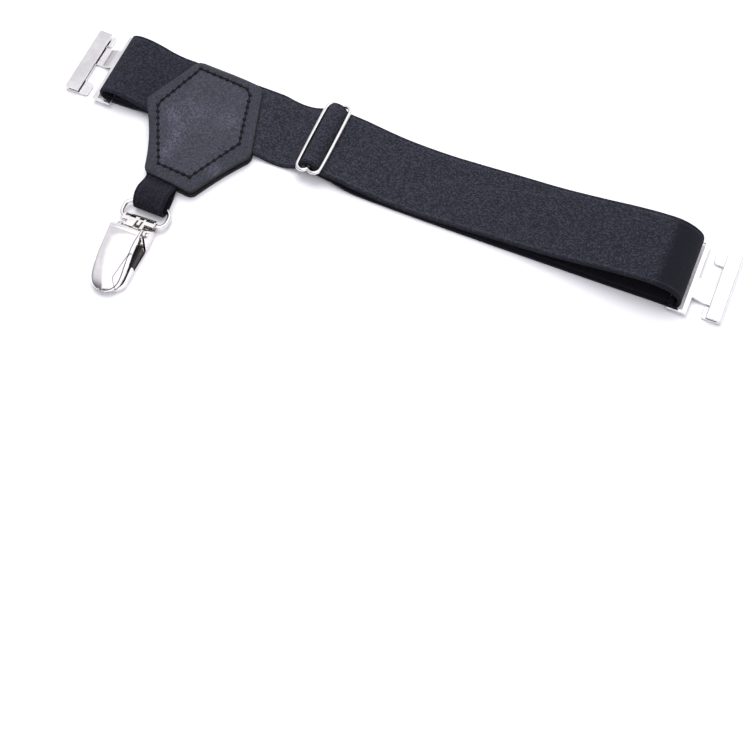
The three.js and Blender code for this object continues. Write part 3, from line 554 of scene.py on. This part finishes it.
front_grain = leather_grain("front_leather", (0.039, 0.040, 0.060, 1), (0.026, 0.028, 0.042, 1))
back_grain = leather_grain("back_leather", (0.03, 0.031, 0.037, 1), (0.03, 0.031, 0.037, 1))

front_mesh, front_inset, front_seam = cut_leather()
thicken_leather(front_mesh, front_inset, front_seam,
                lambda x, y, inset, seam: drape(x, y), front_face)
front_leather = finished("front_leather", front_mesh, front_grain, "strap", 50)
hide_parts("patch_front")

back_mesh, back_inset, back_seam = cut_leather()
thicken_leather(back_mesh, back_inset, back_seam,
                back_underside, lambda x, y, inset, seam: LEATHER_THICKNESS)
back_leather = finished("back_leather", back_mesh, back_grain, "strap", 50)
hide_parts("patch_back")

# Patch stitches
# Black waxed thread in a lockstitch about 3 mm long, laid a little aslant of the seam. It stands
# up in a thicker knot where it goes through the leather.
STITCH_PITCH, STITCH_LENGTH, THREAD, THREAD_PROUD = 2.9, 2.8, 0.25, 0.02
KNOT_LENGTH, KNOT_RADIUS, KNOT_BELOW = 1.7, 0.77, 0.2
STITCH_SLANT = math.radians(9)


def seam_places():
    """Middle and heading of each stitch, spaced evenly along each side of the seam."""
    places = []
    for here, there in seam_sides:
        count = max(1, round((there - here).length / STITCH_PITCH))
        for i in range(count):
            places.append((here.lerp(there, (i + 0.5) / count), (there - here).normalized()))
    return places


def add_stitch(mesh, middle, heading, radius, length):
    """A length of thread that tapers at both ends, turned a little from the seam's heading."""
    made = bmesh.ops.create_uvsphere(mesh, u_segments=10, v_segments=9, radius=1)["verts"]
    bmesh.ops.rotate(mesh, matrix=Matrix.Rotation(math.pi / 2, 3, "Y"), verts=made)
    bmesh.ops.scale(mesh, vec=(length / 2, radius, radius), verts=made)
    turn = math.atan2(heading.y, heading.x) + STITCH_SLANT
    bmesh.ops.rotate(mesh, matrix=Matrix.Rotation(turn, 3, "Z"), verts=made)
    bmesh.ops.translate(mesh, vec=middle, verts=made)


def mottled(name, dark, light, scale, detail, roughness, relief, specular):
    """A dark finish mottled between two colours, for waxed thread and for moulded plastic."""
    finish, start, shader = start_finish(name, Specular_IOR_Level=specular)
    place = start.node("ShaderNodeTexCoord", output=3)
    mottle = start.node("ShaderNodeTexNoise",
                        inputs={"Vector": place, "Scale": scale, "Detail": detail})
    feed(mottle.between(dark, light), shader, "Base Color")
    feed(roughness + mottle * 0.3, shader, "Roughness")
    bump = start.node("ShaderNodeBump", inputs={
        "Strength": relief, "Distance": 0.0001, "Height": mottle})
    feed(bump, shader, "Normal")
    return finish


thread_black = mottled("thread", (0.002, 0.002, 0.003, 1), (0.014, 0.014, 0.018, 1),
                       scale=2600.0, detail=2.0, roughness=0.45, relief=0.6, specular=0.1)
stitch_mesh = bmesh.new()
for middle, heading in seam_places():
    x, y = middle
    top = drape(x, y) + LEATHER_THICKNESS + THREAD_PROUD
    add_stitch(stitch_mesh, Vector((x, y, top)), heading, THREAD, STITCH_LENGTH)
    knot = middle - heading * STITCH_PITCH / 2
    add_stitch(stitch_mesh, Vector((*knot, top - KNOT_BELOW)), heading, KNOT_RADIUS, KNOT_LENGTH)
lay(stitch_mesh)
finished("patch_stitches", stitch_mesh, thread_black, "strap")

# Slider
# Round steel wire, nickel plated: two long bars with heart shaped ends, and a middle bar soldered
# in at the notches. The band goes over the middle bar and its tail goes round it.
WIRE, LOBE_X, LOBE_Y, SLIDER_TILT = 0.78, 4.85, 14.0, math.radians(-8)
BAR_PAST_LOBES, SOLDER_PAST_LOBES, SOLDER_HALVES = 0.3, 0.2, (1.0, 1.15, 0.85)
CREASE_PAINTED_SHADE = (0.3, 0.28, 0.29, 1)


def nickel_plate(name, colour, roughness, waves, creased=False):
    """Bright plate, a little uneven, with faint rubbing marks. A creased sheet has crease_mm, the
    distance beside its crease, and a thin grey line of painted shade along it."""
    finish, start, shader = start_finish(name, Metallic=1.0)
    place = start.node("ShaderNodeTexCoord", output=3)
    cloud = start.node("ShaderNodeTexNoise",
                       inputs={"Vector": place, "Scale": 160.0, "Detail": 5.0, "Roughness": 0.6})
    rubbed = start.node("ShaderNodeTexNoise",
                        inputs={"Vector": place, "Scale": 1500.0, "Detail": 3.0})
    darker = tuple(0.86 * part for part in colour[:3]) + (1,)
    tone = cloud.rising(0.3, 0.7).between(darker, colour)
    swell = start.node("ShaderNodeTexNoise",
                       inputs={"Vector": place, "Scale": 110.0, "Detail": 1.0})
    height = swell + rubbed * 0.03
    if creased:
        beside = start.node("ShaderNodeAttribute", {"attribute_name": "crease_mm"}, output=2)
        # Painted shade: a thin grey line along the crease, with a groove in the bump.
        line = 1 - beside.math("ABSOLUTE").rising(0.05, 0.32)
        tone = line.between(tone, CREASE_PAINTED_SHADE)
        height = height - line * 0.5
    feed(tone, shader, "Base Color")
    feed(roughness + (cloud - 0.5) * 0.14 + (rubbed - 0.5) * 0.08, shader, "Roughness")
    bump = start.node("ShaderNodeBump", inputs={
        "Strength": waves, "Distance": 0.0002, "Height": height})
    feed(bump, shader, "Normal")
    return finish


def add_wire(mesh, line, radius, closed, sides=14):
    """A circle drawn along a line of points and capped, or joined to its start."""
    count = len(line)
    rings = []
    for i, point in enumerate(line):
        ahead = line[(i + 1) % count] if closed or i + 1 < count else point
        behind = line[i - 1] if closed or i else point
        turn = (ahead - behind).to_track_quat("Z", "Y").to_matrix().to_4x4()
        place = Matrix.Translation(point) @ turn
        rings.append(bmesh.ops.create_circle(
            mesh, cap_ends=False, segments=sides, radius=radius, matrix=place)["verts"])
    pairs = list(zip(rings, rings[1:]))
    if closed:
        pairs.append((rings[-1], rings[0]))
    for first, second in pairs:
        edges = {edge for ring in (first, second) for vert in ring for edge in vert.link_edges
                 if edge.other_vert(vert) in ring}
        bmesh.ops.bridge_loops(mesh, edges=list(edges))
    if not closed:
        for ring in (rings[0], rings[-1]):
            bmesh.ops.contextual_create(mesh, geom=ring)


def half_slider(side):
    """Points of half the frame: round one lobe, along the bar and round the other lobe."""
    lobe = LOBE_X / 2
    points = []
    for end in (-1, 1):
        for i in range(9):
            angle = math.pi * (i / 8 if end < 0 else 1 - i / 8)
            points.append(Vector((side * (lobe - lobe * math.cos(angle)),
                                  end * (LOBE_Y + lobe * math.sin(angle)), 0)))
    return through(points, 1.0, 3)


bright_nickel = nickel_plate("bright_nickel", (0.93, 0.91, 0.9, 1), 0.1, 0.12)
slider_mesh = bmesh.new()
add_wire(slider_mesh, half_slider(-1), WIRE, False)
add_wire(slider_mesh, half_slider(1), WIRE, False)
bar_end = LOBE_Y + BAR_PAST_LOBES
middle_bar = [Vector((0, y, 0)) for y in (-bar_end, -LOBE_Y / 2, 0, LOBE_Y / 2, bar_end)]
add_wire(slider_mesh, middle_bar, WIRE, False)
for end in (-1, 1):
    blob = bmesh.ops.create_uvsphere(slider_mesh, u_segments=16, v_segments=10, radius=1)["verts"]
    bmesh.ops.scale(slider_mesh, vec=SOLDER_HALVES, verts=blob)
    bmesh.ops.translate(slider_mesh, vec=(0, end * (LOBE_Y + SOLDER_PAST_LOBES), 0), verts=blob)
bmesh.ops.recalc_face_normals(slider_mesh, faces=slider_mesh.faces)
tilt = Matrix.Rotation(SLIDER_TILT, 3, "Y")
bmesh.ops.rotate(slider_mesh, matrix=tilt, verts=slider_mesh.verts)
lay(slider_mesh, SLIDER_X, SLIDER_Y, SLIDER_Z)
slider = finished("wire_slider", slider_mesh, bright_nickel, "strap")
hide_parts("slider")

# Hooks
# Each is bent from one nickel plated plate: a T bar folded double, a neck, a claw at each end, and
# the slotted frame that the webbing goes round. The cut edges are tumbled a little round.
HOOK_ROUND, HARD_EDGE, SAME_PLANE = 0.14, math.radians(25), math.radians(0.5)
FOLD_TOP, BEND_AWAY, UPRIGHT = 0.0025, 0.1354, 0.3


def give_flat_faces(piece):
    """Keeps broad flat faces flat in the shading where they meet small rounded edges."""
    weighted = piece.modifiers.new("flat_faces", "WEIGHTED_NORMAL")
    weighted.keep_sharp = True


def tumbled(node, radius):
    """A copy of a node's mesh, merged, with its hard edges rounded."""
    mesh = bmesh.new()
    mesh.from_mesh(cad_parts[node].data)
    bmesh.ops.remove_doubles(mesh, verts=mesh.verts, dist=1e-6)
    bmesh.ops.dissolve_limit(mesh, angle_limit=SAME_PLANE, verts=mesh.verts, edges=mesh.edges)
    hard = [edge for edge in mesh.edges
            if len(edge.link_faces) == 2 and edge.calc_face_angle() > HARD_EDGE]
    bmesh.ops.bevel(mesh, geom=hard, offset=radius * MM, affect="EDGES", segments=2,
                    profile=0.5, material=-1, clamp_overlap=True)
    return mesh


hook_nickel = nickel_plate("hook_nickel", (0.98, 0.97, 0.965, 1), 0.14, 0.01)
# The darker, rougher nickel on the hooks' upright faces is painted shade, for the dark slot of the
# fold and the shaded sides of the plate.
edge_shade_nickel = nickel_plate("edge_shade_nickel", (0.84, 0.82, 0.83, 1), 0.42, 0.02)
rubbed_nickel = nickel_plate("rubbed_nickel", (0.88, 0.865, 0.86, 1), 0.18, 0.01)
for side in ("left", "right"):
    hook_mesh = tumbled(f"{side}_hook", HOOK_ROUND)
    hook = finished(f"{side}_plate_hook", hook_mesh, hook_nickel, "strap")
    hook.data.materials.append(edge_shade_nickel)
    hook.data.materials.append(rubbed_nickel)
    for face in hook.data.polygons:
        # The bend on the T bar's outer side is plain plate, though it stands upright too.
        if abs(face.center.x) > BEND_AWAY:
            continue
        # Painted shade: upright faces take the darker nickel.
        if abs(face.normal.z) < UPRIGHT:
            face.material_index = 1
        elif face.center.z > FOLD_TOP:
            face.material_index = 2
    give_flat_faces(hook)
    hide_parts(f"{side}_hook")

# Ring
# Round wire bent to a rounded loop and soldered. Its far bar lies in the clip strap's fold, and
# the clip's rear is rolled round its near bar, about which ring and clip hang a little aslant.
CLIP_X, CLIP_TURN = -106.5, math.radians(2.5)
RING_WIRE, RING_HALF, RING_BEND, RING_X = 0.85, 9.2, 3.2, 0.7
RING_FAR, RING_NEAR, RING_Z = -51.6, -59.5, 2.4


def hang(mesh):
    """Puts a mesh that was drawn straight, in millimetres, where the ring and the clip hang."""
    bmesh.ops.rotate(mesh, cent=(0, RING_NEAR, 0), matrix=Matrix.Rotation(CLIP_TURN, 3, "Z"),
                     verts=mesh.verts)
    lay(mesh, CLIP_X)


ring_middle = Vector((RING_X, (RING_FAR + RING_NEAR) / 2, RING_Z))
bend_x, bend_y = RING_HALF - RING_BEND, (RING_FAR - RING_NEAR) / 2 - RING_BEND
ring_points = []
for corner, (side_x, side_y) in enumerate(((1, 1), (-1, 1), (-1, -1), (1, -1))):
    bend_middle = ring_middle + Vector((side_x * bend_x, side_y * bend_y, 0))
    for i in range(5):
        angle = math.radians(corner * 90 + i * 22.5)
        away = Vector((math.cos(angle), math.sin(angle), 0)) * RING_BEND
        ring_points.append(bend_middle + away)
ring_line = through([*ring_points, ring_points[0]], 0.8, 3)[:-1]
ring_mesh = bmesh.new()
add_wire(ring_mesh, ring_line, RING_WIRE, True)
bmesh.ops.recalc_face_normals(ring_mesh, faces=ring_mesh.faces)
hang(ring_mesh)
ring = finished("wire_ring", ring_mesh, bright_nickel, "strap")
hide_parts("ring")

# Clip base
# Pressed plate with two ears that hold the pin and a turned-up front lip. Its slotted rear is
# rolled round the ring's near bar and runs on as tongues up to the cover.
BASE_ROUND = 0.1
base = finished("clip_plate", tumbled("clip_base", BASE_ROUND), bright_nickel, "clip")
give_flat_faces(base)
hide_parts("clip_base")

# Clip cover
# A domed lever pressed from thin plate and pivoted on the pin, a little to the left of the base's
# middle. Its flat top has soft shoulders, and it narrows to a blunt tip that closes on the lip.
COVER_WALL, COVER_EDGE_ROUND, COVER_X, COVER_STEPS_ACROSS = 0.8, 0.15, -1.2, 44
COVER_CROWN, SHOULDER_FULLNESS = 0.35, 0.8
COVER_ROWS = [
    # y, half width, shoulder, top and lower edge of each section
    (-66.2, 6.2, 1.0, 9.4, 8.3), (-66.6, 6.25, 1.1, 9.8, 8.25), (-67.2, 6.3, 1.2, 10.1, 8.2),
    (-67.9, 6.3, 1.3, 10.15, 8.0), (-68.4, 6.3, 1.4, 10.0, 7.8), (-69.0, 6.4, 1.4, 10.1, 7.6),
    (-71.0, 6.4, 1.5, 10.2, 6.2), (-74.5, 6.4, 1.7, 9.8, 5.2),
    (-78.5, 6.5, 2.1, 9.0, 4.4), (-82.0, 6.5, 2.6, 7.9, 3.7), (-84.8, 6.4, 3.0, 6.8, 3.1),
    (-87.3, 5.9, 3.0, 5.6, 2.7), (-89.3, 4.8, 2.4, 4.5, 2.5), (-90.7, 3.2, 1.4, 3.6, 2.4),
    (-91.4, 1.4, 0.6, 3.1, 2.3),
]
CREASE = [
    # y and x of the crease down the right side, then round to the tip, drawn as a grey line of
    # painted shade with a groove in the bump
    (-66, 9), (-74, 7.5), (-75.5, 4.9), (-79.5, 3.9), (-82.9, 3.0), (-86.3, 1.9), (-87.6, 2.6),
    (-92, 5.5),
]


def cover_arch(turn, half, shoulder, top, edge):
    """Across and height on a section, for a turn of -1 to 1 from one lower edge to the other."""
    flat = max(half - shoulder, 0.2)
    side = math.copysign(1, turn)
    if abs(turn) < 0.5:
        share = abs(turn) / 0.5
        return side * flat * share, top - COVER_CROWN * share ** 2
    angle = math.pi * (1 - abs(turn))
    across = flat + (half - flat) * math.cos(angle) ** SHOULDER_FULLNESS
    return side * across, edge + (top - COVER_CROWN - edge) * math.sin(angle) ** SHOULDER_FULLNESS


def crease_across(y):
    """Where the crease lies across the cover, at a distance y along it."""
    for (far, first), (near, second) in zip(CREASE, CREASE[1:]):
        if near <= y <= far:
            return first + (second - first) * (far - y) / (far - near)
    return CREASE[-1][1]


lever_nickel = nickel_plate("lever_nickel", (0.94, 0.92, 0.92, 1), 0.09, 0.16, True)
cover_line = through([Vector(row) for row in COVER_ROWS], 0.7, 3)
cover_steps = len(cover_line) - 1
cover_mesh = bmesh.new()
bmesh.ops.create_grid(cover_mesh, x_segments=cover_steps, y_segments=COVER_STEPS_ACROSS, size=0.5)
beside_crease = cover_mesh.verts.layers.float.new("crease_mm")
for vert in cover_mesh.verts:
    y, *section = cover_line[round((vert.co.x + 0.5) * cover_steps)]
    across, height = cover_arch(2 * vert.co.y, *section)
    vert.co = (COVER_X + across, y, height)
    vert[beside_crease] = vert.co.x - crease_across(y)
bmesh.ops.recalc_face_normals(cover_mesh, faces=cover_mesh.faces)
hang(cover_mesh)
if sum(face.normal.z for face in cover_mesh.faces) < 0:
    bmesh.ops.reverse_faces(cover_mesh, faces=cover_mesh.faces)
cover = finished("clip_lever", cover_mesh, lever_nickel, "cover", 60)
cover_wall = cover.modifiers.new("wall", "SOLIDIFY")
cover_wall.thickness = COVER_WALL * MM
cover_wall.offset = -1
cover_round = cover.modifiers.new("rounded", "BEVEL")
cover_round.width = COVER_EDGE_ROUND * MM
cover_round.segments = 2
cover_round.limit_method = "ANGLE"
cover_round.angle_limit = math.radians(50)
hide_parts("clip_cover")

# Cover cheeks
# Two round eyes of plate, each on a short leg under the cover's rear. The pin runs through them,
# just inside the ears of the base.
PIN_Y, PIN_Z = -65.9, 6
CHEEK_RADIUS, CHEEK_THICKNESS, CHEEK_ROUND = 1.7, 0.8, 0.15
LEG_Y, LEG_LENGTH = -67.4, 1.6
CHEEKS = [
    # middle across, top of the leg
    (-4.5, 9.4), (4.5, 8.5),
]
cheek_mesh = bmesh.new()
for cheek_x, leg_top in CHEEKS:
    place = Matrix.Translation((cheek_x, PIN_Y, PIN_Z)) @ Matrix.Rotation(math.pi / 2, 4, "Y")
    bmesh.ops.create_cone(cheek_mesh, cap_ends=True, segments=40, radius1=CHEEK_RADIUS,
                          radius2=CHEEK_RADIUS, depth=CHEEK_THICKNESS, matrix=place)
    leg = bmesh.ops.create_cube(cheek_mesh, size=1)["verts"]
    bmesh.ops.scale(cheek_mesh, vec=(CHEEK_THICKNESS, LEG_LENGTH, leg_top - PIN_Z), verts=leg)
    bmesh.ops.translate(cheek_mesh, vec=(cheek_x, LEG_Y, (leg_top + PIN_Z) / 2), verts=leg)
cheek_edges = [edge for edge in cheek_mesh.edges if edge.calc_face_angle() > math.radians(60)]
bmesh.ops.bevel(cheek_mesh, geom=cheek_edges, offset=CHEEK_ROUND, affect="EDGES", segments=2,
                profile=0.5, material=-1)
hang(cheek_mesh)
finished("lever_eyes", cheek_mesh, bright_nickel, "cover")

# Pin
# Steel wire through the ears and the cover's eyes. Its ends are riveted over outside the ears, as
# low heads with a dimple in each.
PIN_PROFILE = [
    # distance from the middle, radius
    (7.4, 0.0), (7.4, 0.3), (7.5, 0.5), (7.52, 0.75), (7.4, 1.08), (7.15, 1.28), (6.9, 1.28),
    (6.9, 0.75), (0.0, 0.75),
]
pin_mesh = bmesh.new()
pin_points = PIN_PROFILE + [(-x, radius) for x, radius in reversed(PIN_PROFILE[:-1])]
pin_verts = [pin_mesh.verts.new((x, 0, radius)) for x, radius in pin_points]
pin_edges = [pin_mesh.edges.new(pair) for pair in zip(pin_verts, pin_verts[1:])]
bmesh.ops.spin(pin_mesh, geom=[*pin_verts, *pin_edges], cent=(0, 0, 0), axis=(1, 0, 0),
               dvec=(0, 0, 0), angle=2 * math.pi, steps=32, use_merge=True, use_duplicate=False)
bmesh.ops.remove_doubles(pin_mesh, verts=pin_mesh.verts, dist=1e-4)
bmesh.ops.recalc_face_normals(pin_mesh, faces=pin_mesh.faces)
bmesh.ops.translate(pin_mesh, vec=(0, PIN_Y, PIN_Z), verts=pin_mesh.verts)
hang(pin_mesh)
pin = finished("rivet_pin", pin_mesh, bright_nickel, "clip", 50)
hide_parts("hinge_pin")

# Jaw insert
# A dark moulded tray in the mouth that keeps the metal off the sock. A thin dark wing in the
# tray's finish stands beside each ear of the base, a sheet of painted shade for the shade under
# the cover's rear.
TRAY_ROUND = 0.12
SHADE_WING_SIZE, SHADE_WING_X, SHADE_WING_Y, SHADE_WING_Z = (0.28, 2.4, 2.4), 5.12, -69.4, 6.0
insert_dark = mottled("insert_dark", (0.004, 0.003, 0.003, 1), (0.02, 0.013, 0.012, 1),
                      scale=900.0, detail=3.0, roughness=0.35, relief=0.3, specular=0.25)
shade_wing_mesh = bmesh.new()
# Dark wings of painted shade, in the tray's finish, inside the cover's rear.
for side in (-1, 1):
    shade_wing = bmesh.ops.create_cube(shade_wing_mesh, size=1)["verts"]
    bmesh.ops.scale(shade_wing_mesh, vec=SHADE_WING_SIZE, verts=shade_wing)
    bmesh.ops.translate(shade_wing_mesh, vec=(side * SHADE_WING_X, SHADE_WING_Y, SHADE_WING_Z), verts=shade_wing)
hang(shade_wing_mesh)
shade_wings = bpy.data.meshes.new("shade_wings")
shade_wing_mesh.to_mesh(shade_wings)
shade_wing_mesh.free()
insert_mesh = tumbled("jaw_insert", TRAY_ROUND)
insert_mesh.from_mesh(shade_wings)
bpy.data.meshes.remove(shade_wings)
insert = finished("mouth_pad", insert_mesh, insert_dark, "clip")
give_flat_faces(insert)
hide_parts("jaw_insert")
